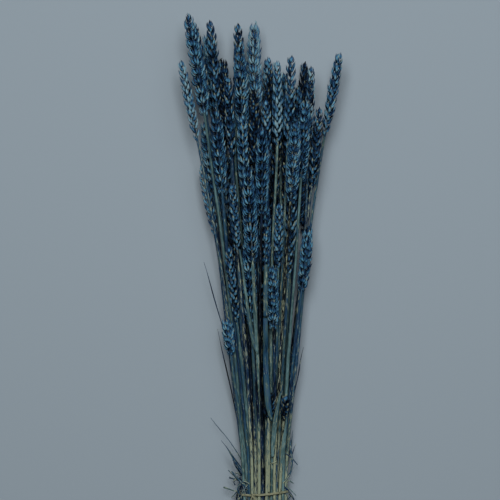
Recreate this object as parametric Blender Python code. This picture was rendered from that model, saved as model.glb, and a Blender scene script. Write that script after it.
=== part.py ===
"""Tied bunch of dried wheat, dyed blue, laid on a flat surface.

All sizes are in metres. The origin is on the flat underside of the tie, where the bunch rests.
+Y runs along the straws from the cut ends to the ears, +X goes across the bunch and +Z points up.
Each stalk is one straw with its ear and, on some, a dry leaf, and is one object. The tie is another.
"""

import math

import bmesh
import bpy
import numpy as np

MM = 0.001

# The bunch as a whole
STALKS = 66
TWINS = 9  # pairs of neighbouring straws that grew from one root and stay joined below the tie
TWIN_HEIGHT = -60 * MM  # where a pair is joined
TWIN_JOINT_RADIUS = 1.15 * MM
BELOW_TIE = 100 * MM  # straw left below the tie
CUT_UNEVEN = 4 * MM  # how far the cut ends differ from one another
TIE_HALF_WIDTH = 21.0 * MM  # section through the straw centres at the tie
TIE_HALF_HEIGHT = 11.5 * MM
TIE_CENTRE_UP = 15.5 * MM
SPREAD = 0.098  # half width gained per metre above the tie
RISE = 0.042  # half height gained per metre above the tie
SPLAY = 0.09  # half width gained per metre below the tie
DIP = 0.02  # how far the middle of the bunch drops per metre below the tie
SWAY = 0.010  # the whole bunch leans this share of its height to -X
CURVE = 0.35  # share of a straw's way outwards that it makes late, near its ear

# A stalk
STRAW_TOP_RADIUS = 1.25 * MM
STRAW_LOW_RADIUS = 1.55 * MM
STRAW_TAPER_LENGTH = 420 * MM
EAR_HALF_WIDTH = 8.2 * MM  # at the spikelet tips, across the ear's broad faces
EAR_HALF_THICKNESS = 5.9 * MM
SPIKELET_PITCH = 5.9 * MM  # from one spikelet to the next on the other row
EAR_LENGTHS = (76 * MM, 94 * MM)

# The tie, two turns of twine side by side, pressed flat under the bunch
TWINE = 1.9 * MM
TIE_SIDES = 28
TIE_PRESS = 1.0 * MM  # what would lie lower than this under the tie is pressed flat on the surface
KNOT_DIRECTION = 128  # degrees from +X towards +Z
KNOT_RADIUS = 2.3 * MM
KNOT_ENDS = ((-34, 13 * MM), (24, 9 * MM))  # how far each end is turned from -Y, and its length

SHARP_ANGLE = math.radians(65)  # edges that turn less are shaded round

# Room left between pieces that don't touch
GAP = 0.35 * MM

SEED = 41

# Ears that make the outline and the front of the bunch. Each row has the place of the tip across and
# along the bunch in millimetres, its place up through the bunch from -1 below to 1 on top, the length
# of the ear in millimetres and its turn: at 0 a broad face of the ear is up, at 90 a narrow side.
OUTLINE_EARS = (
    (-81, 498, 0.45, 107, 20),
    (-75, 491, 0.00, 96, 60),
    (-59, 481, -0.45, 91, 10),
    (-53, 492, 0.10, 95, 75),
    (-27, 489, -0.10, 96, 80),
    (-24, 471, 0.55, 99, 10),
    (-6, 492, 0.00, 96, 15),
    (2, 456, -0.50, 90, 60),
    (9, 450, 0.15, 90, 80),
    (15, 439, -0.30, 88, 40),
    (22, 454, 0.45, 97, 85),
    (29, 426, -0.25, 85, 30),
    (39, 410, -0.45, 85, 70),
    (49, 445, 0.00, 84, 85),
    (79, 459, 0.20, 89, 75),
    (49, 410, 0.45, 85, 10),
    (57, 402, 0.05, 88, 85),
    (-90, 451, 0.20, 86, 80),
    (-64, 390, -0.35, 85, 30),
    (-31, 434, 0.40, 90, 100),
    (-21, 394, 0.70, 88, 60),
    (-55, 402, 0.60, 92, 15),
    (-9, 380, 0.95, 93, 5),
    (28, 388, 0.85, 88, 20),
    (-1, 410, 0.30, 88, 85),
    (-75, 344, 0.00, 76, 85),
    (-39, 324, 0.80, 72, 75),
    (-25, 343, 0.95, 105, 5),
    (-25, 266, 0.90, 91, 10),
    (2, 304, 0.90, 74, 10),
    (18, 304, 0.75, 74, 100),
    (48, 281, 0.30, 72, 20),
    (-42, 258, 0.60, 81, 80),
    (-37, 184, 0.60, 42, 40),
    (10, 240, 0.85, 70, 15),
    (30, 318, 0.75, 95, 85),
    (8, 107, 0.80, 31, 40),
    (22, 104, 0.75, 29, 80),
)
# Tip heights of the ears that fill the bunch, and how many reach each
FILL_LEVELS = (
    (448 * MM, 3),
    (416 * MM, 6),
    (386 * MM, 6),
    (352 * MM, 6),
    (312 * MM, 4),
    (272 * MM, 3),
)
TIP_UNEVEN = 9 * MM

# Dry leaves. Each row has the side of the bunch that it stands on, in degrees from +X towards +Z, the
# height of its root, its length, its width and how far its tip stands out from the straw, all in
# millimetres, and how far its blade is turned about its own length, in degrees.
LEAVES = (
    (180, 138, 104, 2.6, 17, 0),
    (188, 52, 120, 2.4, 13, 0),
    (186, 30, 56, 3.0, 30, 15),
    (170, 18, 42, 6.4, 21, 65),
    (200, 12, 24, 2.4, 12, 0),
    (8, 88, 64, 2.6, 6, 0),
    (20, 22, 30, 2.4, 9, 0),
    (345, 12, 52, 3.0, 6, 20),
    (70, 20, 66, 4.2, 9, 0),
    (110, 60, 84, 3.6, 9, 0),
    (95, 128, 112, 3.0, 17, 0),
)
LEAF_THICKNESS = 0.8 * MM
LEAF_RINGS = 6
LEAF_CURL = 1.25  # 1 for a leaf that stands out straight, more for one that bends out late

# Heights at which a straw may bend, with the tie midway between two of them
STATIONS = np.array([-105, -35, 35, 140, 245, 350, 455, 560]) * MM
CHECK_STEP = 10 * MM
EAR_PRESS = 0.4 * MM  # how far the lowest ears are flattened on the surface
# Rounds of small moves that settle the stalks. The pulls fade to nothing by the last round.
SETTLE_ROUNDS = 900
TIE_HOLD = 1.2  # how hard the tie pulls in, where two crossing straws push apart by 1
PLACE_PULL = 0.04  # share of the way back to its wanted path that a stalk moves in a round
STRAIGHT_PULL = 0.25  # and of the way to the straight line between its neighbour stations


def section(y):
    """Centre across, half width, centre up and half height of the bunch, through its straw centres."""
    above = np.maximum(y, 0)
    below = np.maximum(-y, 0)
    half_width = TIE_HALF_WIDTH + SPREAD * above + SPLAY * below
    half_height = TIE_HALF_HEIGHT + RISE * above
    centre_up = TIE_CENTRE_UP + RISE * above - DIP * below
    return -SWAY * above, half_width, centre_up, half_height


def spot(places, y):
    """Point of the section at height y that each place, in shares of its half axes, stands for."""
    centre, half_width, middle, half_height = section(y)
    return np.stack([centre + half_width * places[..., 0], middle + half_height * places[..., 1]], -1)


def ear_width_share(along):
    """Share of the full ear width, from 0 at the ear's foot to 1 at its tip."""
    return np.interp(along, (0, 0.12, 0.4, 0.7, 1), (0.70, 0.90, 1.0, 0.93, 0.60))


def straw_radius(y):
    """A straw is thinnest under its ear and thicker in the leaf sheaths lower down."""
    return np.interp(y, (0, STRAW_TAPER_LENGTH), (STRAW_LOW_RADIUS, STRAW_TOP_RADIUS))


def choose_stalks():
    """Place at the tie and at the ear's tip, tip height, ear length, cut end and turn of each stalk,
    and whether it only fills the bunch.

    The places at the tie fill a round section evenly along a spiral of golden angles. Each ear of the
    outline takes the free place nearest to its own, and the others are shared out level by level."""
    rng = np.random.default_rng(SEED)
    index = np.arange(STALKS)
    golden = math.pi * (3 - math.sqrt(5))
    reach = np.sqrt((index + 0.5) / STALKS)
    at_tie = np.stack([reach * np.cos(index * golden), reach * np.sin(index * golden)], axis=1)
    at_tip = at_tie.copy()
    tips = np.zeros(STALKS)
    lengths = rng.uniform(*EAR_LENGTHS, STALKS)
    turns = rng.uniform(0, math.pi, STALKS)
    free = np.ones(STALKS, bool)
    for across, tip, up, length, turn in OUTLINE_EARS:
        centre, half_width, _, _ = section(tip * MM)
        wanted = np.array([(across * MM - centre) / half_width, up])
        miss = np.linalg.norm(at_tie - wanted, axis=1)
        miss[~free] = np.inf
        chosen = int(np.argmin(miss))
        free[chosen] = False
        at_tip[chosen] = wanted
        tips[chosen] = tip * MM
        lengths[chosen] = length * MM
        turns[chosen] = math.radians(turn)
    levels = np.concatenate([np.full(count, height) for height, count in FILL_LEVELS])
    levels = levels + rng.uniform(-TIP_UNEVEN, TIP_UNEVEN, len(levels))
    tips[free] = rng.permutation(levels)
    cuts = -BELOW_TIE + rng.uniform(-CUT_UNEVEN, CUT_UNEVEN, STALKS)
    return at_tie, at_tip, tips, lengths, cuts, turns, free


def half_axes(y, tips, lengths):
    """Half width and half thickness of each stalk at each height, as heights x stalks.

    Above its tip a stalk needs no room and both are 0."""
    along = (y[:, None] - (tips - lengths)) / lengths
    share = ear_width_share(np.clip(along, 0, 1))
    margin = CHECK_STEP / 2 / lengths
    in_ear = along > -margin
    gone = along > 1 + margin
    straw = straw_radius(y)[:, None]
    wide = np.where(in_ear, EAR_HALF_WIDTH * share, straw)
    thin = np.where(in_ear, EAR_HALF_THICKNESS * share, straw)
    return np.where(gone, 0, wide), np.where(gone, 0, thin)


def wanted_paths(at_tie, at_tip, tips):
    """Where each stalk would pass each station if it had the bunch for itself."""
    along = np.clip(STATIONS[:, None] / tips, 0, 1.15)
    along = (1 - CURVE) * along + CURVE * along**3
    low = spot(at_tie, np.minimum(STATIONS, 0)[:, None])
    high = spot(at_tip, tips)
    return low + (high - low) * along[..., None]


def settle(at_tie, at_tip, tips, lengths, turns):
    """Where each stalk passes each station, as stations x stalks x (across, up).

    Each stalk starts on its wanted path. Rounds of small moves then push apart those that cross, lift
    those that sink into the surface, and keep every straw nearly straight. Two stalks are clear of each
    other once their middles are further apart than both reach along the line between them."""
    wanted = wanted_paths(at_tie, at_tip, tips)
    heights = np.arange(STATIONS[0], STATIONS[-1], CHECK_STEP)
    share = np.stack([np.interp(heights, STATIONS, row) for row in np.eye(len(STATIONS))], axis=1)
    between = ((STATIONS[1:-1] - STATIONS[:-2]) / (STATIONS[2:] - STATIONS[:-2]))[:, None, None]
    wide, thin = half_axes(heights, tips, lengths)
    there = wide > 0
    meet = there[:, :, None] & there[:, None, :] & ~np.eye(STALKS, dtype=bool)
    side = np.stack([np.cos(turns), np.sin(turns)])
    wide2, thin2 = wide[:, :, None] ** 2, thin[:, :, None] ** 2
    near_tie = np.abs(heights) < CHECK_STEP
    centre, half_width, middle, half_height = section(heights)
    own = np.abs(np.einsum("hs,sn->hn", share, wanted[..., 0]) - centre[:, None])
    edge = np.maximum(half_width[:, None], own)
    tie_centre = np.stack([centre, middle], axis=-1)[near_tie, None]
    tie_axes = np.stack([half_width, half_height], axis=-1)[near_tie, None]
    floor = np.hypot(wide * side[1], thin * side[0]) - np.where(wide > 2 * STRAW_LOW_RADIUS, EAR_PRESS, 0)
    floor = floor + np.where(near_tie, TWINE + GAP, 0.0)[:, None]
    at = wanted.copy()
    for done in range(SETTLE_ROUNDS):
        early = 1 - done / SETTLE_ROUNDS
        here = np.einsum("hs,snc->hnc", share, at)
        apart = here[:, :, None] - here[:, None]
        distance = np.maximum(np.sqrt(apart[..., 0] ** 2 + apart[..., 1] ** 2), 1e-6)
        facing = (apart[..., 0] * side[0][:, None] + apart[..., 1] * side[1][:, None]) / distance
        facing = facing**2
        reach = np.sqrt(wide2 * facing + thin2 * (1 - facing))
        room = reach + reach.transpose(0, 2, 1) + GAP
        short = np.where(meet, np.maximum(room - distance, 0), 0)
        push = 0.5 * (apart * (short / distance)[..., None]).sum(axis=2)
        push[..., 1] += np.where(there, np.maximum(floor - here[..., 1], 0), 0)
        off = here[..., 0] - centre[:, None]
        push[..., 0] += np.where(there, np.clip(off, -edge, edge) - off, 0)
        held = (here[near_tie] - tie_centre) / tie_axes
        outside = np.maximum(np.linalg.norm(held, axis=-1, keepdims=True), 1)
        push[near_tie] += TIE_HOLD * early * held * (1 / outside - 1) * tie_axes
        weight = np.linalg.norm(push, axis=-1, keepdims=True) + 1e-9
        moved = np.einsum("hs,hnc->snc", share, push * weight)
        moved = moved / (np.einsum("hs,hnc->snc", share, weight) + 1e-12)
        at = at + moved
        at = at + PLACE_PULL * early * (wanted - at)
        straight = at[:-2] + (at[2:] - at[:-2]) * between
        at[1:-1] = at[1:-1] + STRAIGHT_PULL * early * (straight - at[1:-1])
    return at


def choose_twins(at, fills):
    """Pairs of filling stalks whose straws lie closest together below the tie, no stalk in two pairs."""
    low = np.stack([path_at(TWIN_HEIGHT, at[:, n]) for n in range(STALKS)])
    distance = np.linalg.norm(low[:, None] - low[None], axis=-1)
    distance[~fills] = np.inf
    distance[:, ~fills] = np.inf
    np.fill_diagonal(distance, np.inf)
    pairs = []
    for _ in range(TWINS):
        first, second = np.unravel_index(np.argmin(distance), distance.shape)
        pairs.append((int(min(first, second)), int(max(first, second))))
        distance[[first, second]] = np.inf
        distance[:, [first, second]] = np.inf
    return pairs


def path_at(y, across_up):
    """Point of a stalk at each height, on straight runs between its stations."""
    across = np.interp(y, STATIONS, across_up[:, 0])
    up = np.interp(y, STATIONS, across_up[:, 1])
    return np.stack([across, y, up], axis=-1)


def stalk_mesh(across_up, tip, length, cut, turn):
    """Points and triangles of a straw with its ear: six-sided rings from the cut end to the tip.

    On the ear each ring is a spikelet of one row and the waist of the other. The two rows stand on the
    ear's broad faces. A spikelet fills its face and reaches round one edge, the right one in the front
    row and the left one in the back row, where its tip is pushed up over the waist above it."""
    foot = tip - length
    turns = np.arange(6) * math.pi / 3
    round_side = np.stack([np.cos(turns), np.sin(turns)], axis=1)
    # Sides 0, 1 and 2 are the right edge and the front face, and 3, 4 and 5 the left edge and the back.
    front_row = np.array([True, True, True, False, False, False])
    edge = np.array([True, False, False, True, False, False])
    thickness = EAR_HALF_THICKNESS / EAR_HALF_WIDTH
    ear_side = round_side * np.array([1.0, thickness])

    bends = STATIONS[(STATIONS > cut + 5 * MM) & (STATIONS < foot - 12 * MM)]
    rings = [(y, straw_radius(y) * round_side, np.zeros(6)) for y in (cut, *bends, foot)]
    count = max(5, round(length / SPIKELET_PITCH))
    pitch = length / (count + 1.0)
    for k in range(count):
        on = front_row if k % 2 == 0 else ~front_row
        width = EAR_HALF_WIDTH * ear_width_share((k + 1) / count)
        out = np.where(on, 1.0, np.where(edge, 0.58, 0.70)) * width
        lift = np.where(on, np.where(edge, 0.72, 0.22), -0.12) * pitch
        rings.append((foot + (k + 0.6) * pitch, ear_side * out[:, None], lift))
    side = np.stack([np.cos(turn), np.sin(turn)])
    points = []
    for y, offsets, lift in rings:
        before, after = path_at(np.array([y - pitch, y + pitch]), across_up)
        along = (after - before) / np.linalg.norm(after - before)
        level = np.array([1.0, 0.0, 0.0]) - along[0] * along
        level = level / np.linalg.norm(level)
        upright = np.cross(level, along)
        a = side[0] * level + side[1] * upright
        b = np.cross(a, along)
        centre = path_at(y, across_up)
        points.append(centre + offsets[:, :1] * a + offsets[:, 1:] * b + lift[:, None] * along)
    points = np.concatenate(points + [path_at(np.array([cut, tip]), across_up)])
    points[:, 2] = np.maximum(points[:, 2], 0)

    faces = []
    for ring in range(len(rings) - 1):
        for j in range(6):
            low, next_low = ring * 6 + j, ring * 6 + (j + 1) % 6
            faces.append((low, next_low, next_low + 6))
            faces.append((low, next_low + 6, low + 6))
    last = (len(rings) - 1) * 6
    cut_centre, tip_point = len(points) - 2, len(points) - 1
    for j in range(6):
        faces.append(((j + 1) % 6, j, cut_centre))
        faces.append((last + j, last + (j + 1) % 6, tip_point))
    return points, faces


def leaf_mesh(root, along, out, length, width, reach, turned):
    """Points and triangles of a dry leaf: a thin blade that leaves its straw and bends out to a point."""
    flat = np.cross(along, out)
    flat = flat / np.linalg.norm(flat)
    across = math.cos(turned) * flat + math.sin(turned) * out
    face = np.cross(across, along)
    face = face / np.linalg.norm(face)
    points = []
    for t in np.linspace(0, 1, LEAF_RINGS):
        middle = root + along * math.sqrt(max(length**2 - reach**2, 0)) * t + out * reach * t**LEAF_CURL
        half = 0.5 * width * (0.45 + 1.9 * t * (1 - t) + 0.1 * (1 - t))
        half = max(half * (1 - t**4), 0.35 * MM)
        thick = 0.5 * LEAF_THICKNESS
        for a, b in ((half, thick), (-half, thick), (-half, -thick), (half, -thick)):
            points.append(middle + a * across + b * face)
    return np.array(points), tube_faces(LEAF_RINGS, 4)


def tie_mesh(straws):
    """Points and triangles of the tie: a ring of two turns of twine, drawn tight round the straws.

    straws has a row (across, up, radius) for each straw at the tie. The ring's inside runs along the
    lines that touch the outermost straws, one for each direction, and its underside is pressed flat."""
    turns = np.arange(TIE_SIDES) * 2 * math.pi / TIE_SIDES
    normals = np.stack([np.cos(turns), np.sin(turns)], axis=1)
    reach = (straws[:, :2] @ normals.T + straws[:, 2:]).max(axis=0) + GAP
    corners = []
    for j in range(TIE_SIDES):
        pair = [j, (j + 1) % TIE_SIDES]
        corners.append(np.linalg.solve(normals[pair], reach[pair]))
    corners = np.array(corners)
    outward = normals + np.roll(normals, -1, axis=0)
    outward = outward / np.linalg.norm(outward, axis=1, keepdims=True)
    # Section of the two turns, as (how far out, how far along), from the inner edge round the outside.
    profile = np.array(
        [(0, -0.95), (0.55, -1.0), (0.95, -0.5), (0.7, 0.0), (0.95, 0.5), (0.55, 1.0), (0, 0.95)]
    )
    points = []
    for corner, direction in zip(corners, outward):
        for out, along in profile:
            x, z = corner + direction * out * TWINE
            points.append((x, along * TWINE, z))
    points = np.array(points)
    points[points[:, 2] < TIE_PRESS, 2] = 0
    size = len(profile)
    faces = []
    for j in range(TIE_SIDES):
        here, there = j * size, (j + 1) % TIE_SIDES * size
        for k in range(size):
            after = (k + 1) % size
            faces.append((here + k, there + k, there + after))
            faces.append((here + k, there + after, here + after))
    return points, faces


def ball_mesh():
    """Points and triangles of a ball of radius 1 with few sides."""
    ball = bmesh.new()
    bmesh.ops.create_icosphere(ball, subdivisions=1, radius=1.0)
    points = np.array([v.co for v in ball.verts])
    faces = [tuple(v.index for v in face.verts) for face in ball.faces]
    ball.free()
    return points, faces


def knot_pieces(straws):
    """Points and triangles of the knot and of the two ends of twine that come out of it."""
    angle = math.radians(KNOT_DIRECTION)
    normal = np.array([math.cos(angle), math.sin(angle)])
    outermost = straws[np.argmax(straws[:, :2] @ normal + straws[:, 2])]
    x, z = outermost[:2] + normal * (outermost[2] + GAP + KNOT_RADIUS)
    out = np.array([normal[0], 0.0, normal[1]])
    across = np.array([-normal[1], 0.0, normal[0]])
    centre = np.array([x, 0.0, z])
    shape, faces = ball_mesh()
    shape = shape * (1.35 * KNOT_RADIUS, 1.15 * KNOT_RADIUS, KNOT_RADIUS)
    along = np.array([0.0, 1.0, 0.0])
    points = centre + shape[:, :1] * across + shape[:, 1:2] * along + shape[:, 2:] * out
    pieces = [(points, faces)]
    ring = np.arange(5) * 2 * math.pi / 5
    for turned, length in KNOT_ENDS:
        way = math.radians(turned)
        heading = math.sin(way) * across - math.cos(way) * along
        beside = np.cross(heading, out)
        points = []
        for t, radius in ((0.0, 0.5), (0.5, 0.5), (1.0, 0.35)):
            middle = centre + heading * length * t + out * 1.4 * MM * t
            for a, b in zip(np.cos(ring), np.sin(ring)):
                points.append(middle + radius * TWINE * (a * beside + b * out))
        pieces.append((np.array(points), tube_faces(3, 5)))
    return pieces


def tube_faces(rings, sides):
    """Triangles of a closed tube of rings with this many sides, its two ends filled by fans."""
    faces = []
    for ring in range(rings - 1):
        for j in range(sides):
            low, next_low = ring * sides + j, ring * sides + (j + 1) % sides
            faces.append((low, next_low, next_low + sides))
            faces.append((low, next_low + sides, low + sides))
    last = (rings - 1) * sides
    for j in range(1, sides - 1):
        faces.append((0, j + 1, j))
        faces.append((last, last + j, last + j + 1))
    return faces


def plain_material(name, colour, roughness):
    material = bpy.data.materials.new(name)
    material.use_nodes = True
    shader = material.node_tree.nodes["Principled BSDF"]
    shader.inputs["Base Color"].default_value = (*colour, 1)
    shader.inputs["Roughness"].default_value = roughness
    return material


def add_object(name, points, faces, material):
    """Object with this mesh, its faces turned outwards."""
    mesh = bpy.data.meshes.new(name)
    mesh.from_pydata([tuple(p) for p in points], [], faces)
    work = bmesh.new()
    work.from_mesh(mesh)
    bmesh.ops.recalc_face_normals(work, faces=work.faces)
    work.to_mesh(mesh)
    work.free()
    mesh.shade_smooth()
    mesh.set_sharp_from_angle(angle=SHARP_ANGLE)
    mesh.materials.append(material)
    obj = bpy.data.objects.new(name, mesh)
    bpy.context.collection.objects.link(obj)
    return obj


def join(piece, added):
    """Joins what has its root sunk in a piece to that piece, in one solid."""
    union = piece.modifiers.new("join", "BOOLEAN")
    union.operation = "UNION"
    union.solver = "EXACT"
    union.object = added
    graph = bpy.context.evaluated_depsgraph_get()
    joined = bpy.data.meshes.new_from_object(piece.evaluated_get(graph))
    piece.modifiers.remove(union)
    piece.data = joined
    bpy.data.objects.remove(added)


def main():
    for obj in list(bpy.data.objects):
        bpy.data.objects.remove(obj)
    blue = plain_material("dyed_wheat", (0.045, 0.115, 0.190), 0.75)
    straw = plain_material("tie_straw", (0.35, 0.33, 0.20), 0.80)

    at_tie, at_tip, tips, lengths, cuts, turns, fills = choose_stalks()
    at = settle(at_tie, at_tip, tips, lengths, turns)
    stalks = []
    for n in range(STALKS):
        points, faces = stalk_mesh(at[:, n], tips[n], lengths[n], cuts[n], turns[n])
        stalks.append(add_object(f"wheat_stalk_{n + 1:02d}", points, faces, blue))

    for side, root_height, length, width, reach, turned in LEAVES:
        root_height, length, width, reach = np.array([root_height, length, width, reach]) * MM
        angle = math.radians(side)
        out = np.array([math.cos(angle), 0.0, math.sin(angle)])
        centres = np.stack([path_at(root_height, at[:, n]) for n in range(STALKS)])
        host = int(np.argmax(centres @ out))
        along = path_at(root_height + length, at[:, host]) - centres[host]
        along = along / np.linalg.norm(along)
        blade = leaf_mesh(centres[host], along, out, length, width, reach, math.radians(turned))
        join(stalks[host], add_object("leaf", *blade, blue))

    for first, second in choose_twins(at, fills):
        middle = 0.5 * (path_at(TWIN_HEIGHT, at[:, first]) + path_at(TWIN_HEIGHT, at[:, second]))
        shape, faces = ball_mesh()
        join(stalks[first], add_object("base", middle + TWIN_JOINT_RADIUS * shape, faces, blue))
        join(stalks[first], stalks[second])
        stalks[first].name = f"wheat_twin_stalk_{first + 1:02d}"

    centres = np.stack([path_at(0.0, at[:, n]) for n in range(STALKS)])
    radii = np.full((STALKS, 1), straw_radius(0.0))
    straws = np.hstack([centres[:, [0, 2]], radii])
    tie = add_object("tie", *tie_mesh(straws), straw)
    for points, faces in knot_pieces(straws):
        join(tie, add_object("knot", points, faces, straw))


main()
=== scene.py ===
import math

import bpy
import numpy as np
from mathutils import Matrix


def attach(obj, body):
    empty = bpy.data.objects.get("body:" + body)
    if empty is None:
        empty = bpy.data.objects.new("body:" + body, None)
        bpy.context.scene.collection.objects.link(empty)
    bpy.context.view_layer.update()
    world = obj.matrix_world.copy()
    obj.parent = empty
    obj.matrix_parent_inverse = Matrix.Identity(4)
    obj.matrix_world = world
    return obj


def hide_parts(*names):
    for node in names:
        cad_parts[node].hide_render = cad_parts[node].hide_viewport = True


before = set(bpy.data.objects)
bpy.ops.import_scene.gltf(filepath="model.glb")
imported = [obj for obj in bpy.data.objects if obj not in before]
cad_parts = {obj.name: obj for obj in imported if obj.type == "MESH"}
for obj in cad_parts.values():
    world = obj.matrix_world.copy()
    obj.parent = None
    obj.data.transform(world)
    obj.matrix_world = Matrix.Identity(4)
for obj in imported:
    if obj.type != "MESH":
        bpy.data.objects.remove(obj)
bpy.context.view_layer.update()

# The bunch: 66 stalks of dried, beardless wheat, gathered by hand and laid down together. Their ears
# spread above the tie, and each stalk lies where its neighbours, the tie and the surface leave it room.
# The places follow the same rule and the same sizes as the solids, so each stalk covers its own solid.
MM = 0.001
STALKS = 66
TWINS = 9  # pairs of neighbouring straws that grew from one root and stay joined below the tie
TWIN_HEIGHT = -60 * MM
TWIN_JOINT_RADIUS = 1.3 * MM
BELOW_TIE = 100 * MM  # straw left below the tie
CUT_UNEVEN = 4 * MM
TIE_HALF_WIDTH = 21.0 * MM  # section through the straw centres at the tie
TIE_HALF_HEIGHT = 11.5 * MM
TIE_CENTRE_UP = 15.5 * MM
SPREAD = 0.098  # half width gained per metre above the tie
RISE = 0.042  # half height gained per metre above the tie
SPLAY = 0.09  # half width gained per metre below the tie
DIP = 0.02  # how far the middle of the bunch drops per metre below the tie
SWAY = 0.010  # the whole bunch leans this share of its height to -X
CURVE = 0.35  # share of a straw's way outwards that it makes late, near its ear
STRAW_TOP_RADIUS = 1.25 * MM
STRAW_LOW_RADIUS = 1.55 * MM
STRAW_TAPER_LENGTH = 420 * MM
EAR_HALF_WIDTH = 8.2 * MM  # at the spikelet tips, across the ear's broad faces
EAR_HALF_THICKNESS = 5.9 * MM
EAR_LENGTHS = (76 * MM, 94 * MM)
TWINE = 1.9 * MM  # room that the twine of the tie takes round the straws
GAP = 0.35 * MM  # room between pieces that don't touch
SEED = 41
# Ears that make the outline and the front of the bunch. Each row has the place of the tip across and
# along the bunch in millimetres, its place up through the bunch from -1 below to 1 on top, the length
# of the ear in millimetres and its turn: at 0 a broad face of the ear is up, at 90 a narrow side.
OUTLINE_EARS = (
    (-81, 498, 0.45, 107, 20),
    (-75, 491, 0.00, 96, 60),
    (-59, 481, -0.45, 91, 10),
    (-53, 492, 0.10, 95, 75),
    (-27, 489, -0.10, 96, 80),
    (-24, 471, 0.55, 99, 10),
    (-6, 492, 0.00, 96, 15),
    (2, 456, -0.50, 90, 60),
    (9, 450, 0.15, 90, 80),
    (15, 439, -0.30, 88, 40),
    (22, 454, 0.45, 97, 85),
    (29, 426, -0.25, 85, 30),
    (39, 410, -0.45, 85, 70),
    (49, 445, 0.00, 84, 85),
    (79, 459, 0.20, 89, 75),
    (49, 410, 0.45, 85, 10),
    (57, 402, 0.05, 88, 85),
    (-90, 451, 0.20, 86, 80),
    (-64, 390, -0.35, 85, 30),
    (-31, 434, 0.40, 90, 100),
    (-21, 394, 0.70, 88, 60),
    (-55, 402, 0.60, 92, 15),
    (-9, 380, 0.95, 93, 5),
    (28, 388, 0.85, 88, 20),
    (-1, 410, 0.30, 88, 85),
    (-75, 344, 0.00, 76, 85),
    (-39, 324, 0.80, 72, 75),
    (-25, 343, 0.95, 105, 5),
    (-25, 266, 0.90, 91, 10),
    (2, 304, 0.90, 74, 10),
    (18, 304, 0.75, 74, 100),
    (48, 281, 0.30, 72, 20),
    (-42, 258, 0.60, 81, 80),
    (-37, 184, 0.60, 42, 40),
    (10, 240, 0.85, 70, 15),
    (30, 318, 0.75, 95, 85),
    (8, 107, 0.80, 31, 40),
    (22, 104, 0.75, 29, 80),
)
# Tip heights of the ears that fill the bunch, and how many reach each
FILL_LEVELS = (
    (448 * MM, 3),
    (416 * MM, 6),
    (386 * MM, 6),
    (352 * MM, 6),
    (312 * MM, 4),
    (272 * MM, 3),
)
TIP_UNEVEN = 9 * MM
# Heights at which a straw may bend, with the tie midway between two of them
STATIONS = np.array([-105, -35, 35, 140, 245, 350, 455, 560]) * MM
CHECK_STEP = 10 * MM
EAR_PRESS = 0.4 * MM  # how far an ear gives way where it lies on the surface
SETTLE_ROUNDS = 900
TIE_HOLD = 1.2  # how strongly the tie draws the straws in, at first
PLACE_PULL = 0.04  # share of its way back to its own place that a stalk goes, at first
STRAIGHT_PULL = 0.25  # share by which a bend is straightened, at first


def section(y):
    """Centre across, half width, centre up and half height of the bunch, through its straw centres."""
    above = np.maximum(y, 0)
    below = np.maximum(-y, 0)
    half_width = TIE_HALF_WIDTH + SPREAD * above + SPLAY * below
    half_height = TIE_HALF_HEIGHT + RISE * above
    centre_up = TIE_CENTRE_UP + RISE * above - DIP * below
    return -SWAY * above, half_width, centre_up, half_height


def spot(places, y):
    """Point of the section at height y that each place, in shares of its half axes, stands for."""
    centre, half_width, middle, half_height = section(y)
    return np.stack([centre + half_width * places[..., 0], middle + half_height * places[..., 1]], -1)


def ear_width_share(along):
    """Share of the full ear width, from 0 at the ear's foot to 1 at its tip."""
    return np.interp(along, (0, 0.12, 0.4, 0.7, 1), (0.70, 0.90, 1.0, 0.93, 0.60))


def straw_radius(y):
    """A straw is thinnest under its ear and thicker in the leaf sheaths lower down."""
    return np.interp(y, (0, STRAW_TAPER_LENGTH), (STRAW_LOW_RADIUS, STRAW_TOP_RADIUS))


def choose_stalks():
    """Place at the tie and at the ear's tip, tip height, ear length, cut end and turn of each stalk,
    and whether it only fills the bunch.

    The places at the tie fill a round section evenly along a spiral of golden angles. Each ear of the
    outline takes the free place nearest to its own, and the others are shared out level by level."""
    rng = np.random.default_rng(SEED)
    index = np.arange(STALKS)
    golden = math.pi * (3 - math.sqrt(5))
    reach = np.sqrt((index + 0.5) / STALKS)
    at_tie = np.stack([reach * np.cos(index * golden), reach * np.sin(index * golden)], axis=1)
    at_tip = at_tie.copy()
    tips = np.zeros(STALKS)
    lengths = rng.uniform(*EAR_LENGTHS, STALKS)
    turns = rng.uniform(0, math.pi, STALKS)
    free = np.ones(STALKS, bool)
    for across, tip, up, length, turn in OUTLINE_EARS:
        centre, half_width, _, _ = section(tip * MM)
        wanted = np.array([(across * MM - centre) / half_width, up])
        miss = np.linalg.norm(at_tie - wanted, axis=1)
        miss[~free] = np.inf
        chosen = int(np.argmin(miss))
        free[chosen] = False
        at_tip[chosen] = wanted
        tips[chosen] = tip * MM
        lengths[chosen] = length * MM
        turns[chosen] = math.radians(turn)
    levels = np.concatenate([np.full(count, height) for height, count in FILL_LEVELS])
    levels = levels + rng.uniform(-TIP_UNEVEN, TIP_UNEVEN, len(levels))
    tips[free] = rng.permutation(levels)
    cuts = -BELOW_TIE + rng.uniform(-CUT_UNEVEN, CUT_UNEVEN, STALKS)
    return at_tie, at_tip, tips, lengths, cuts, turns, free


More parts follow.
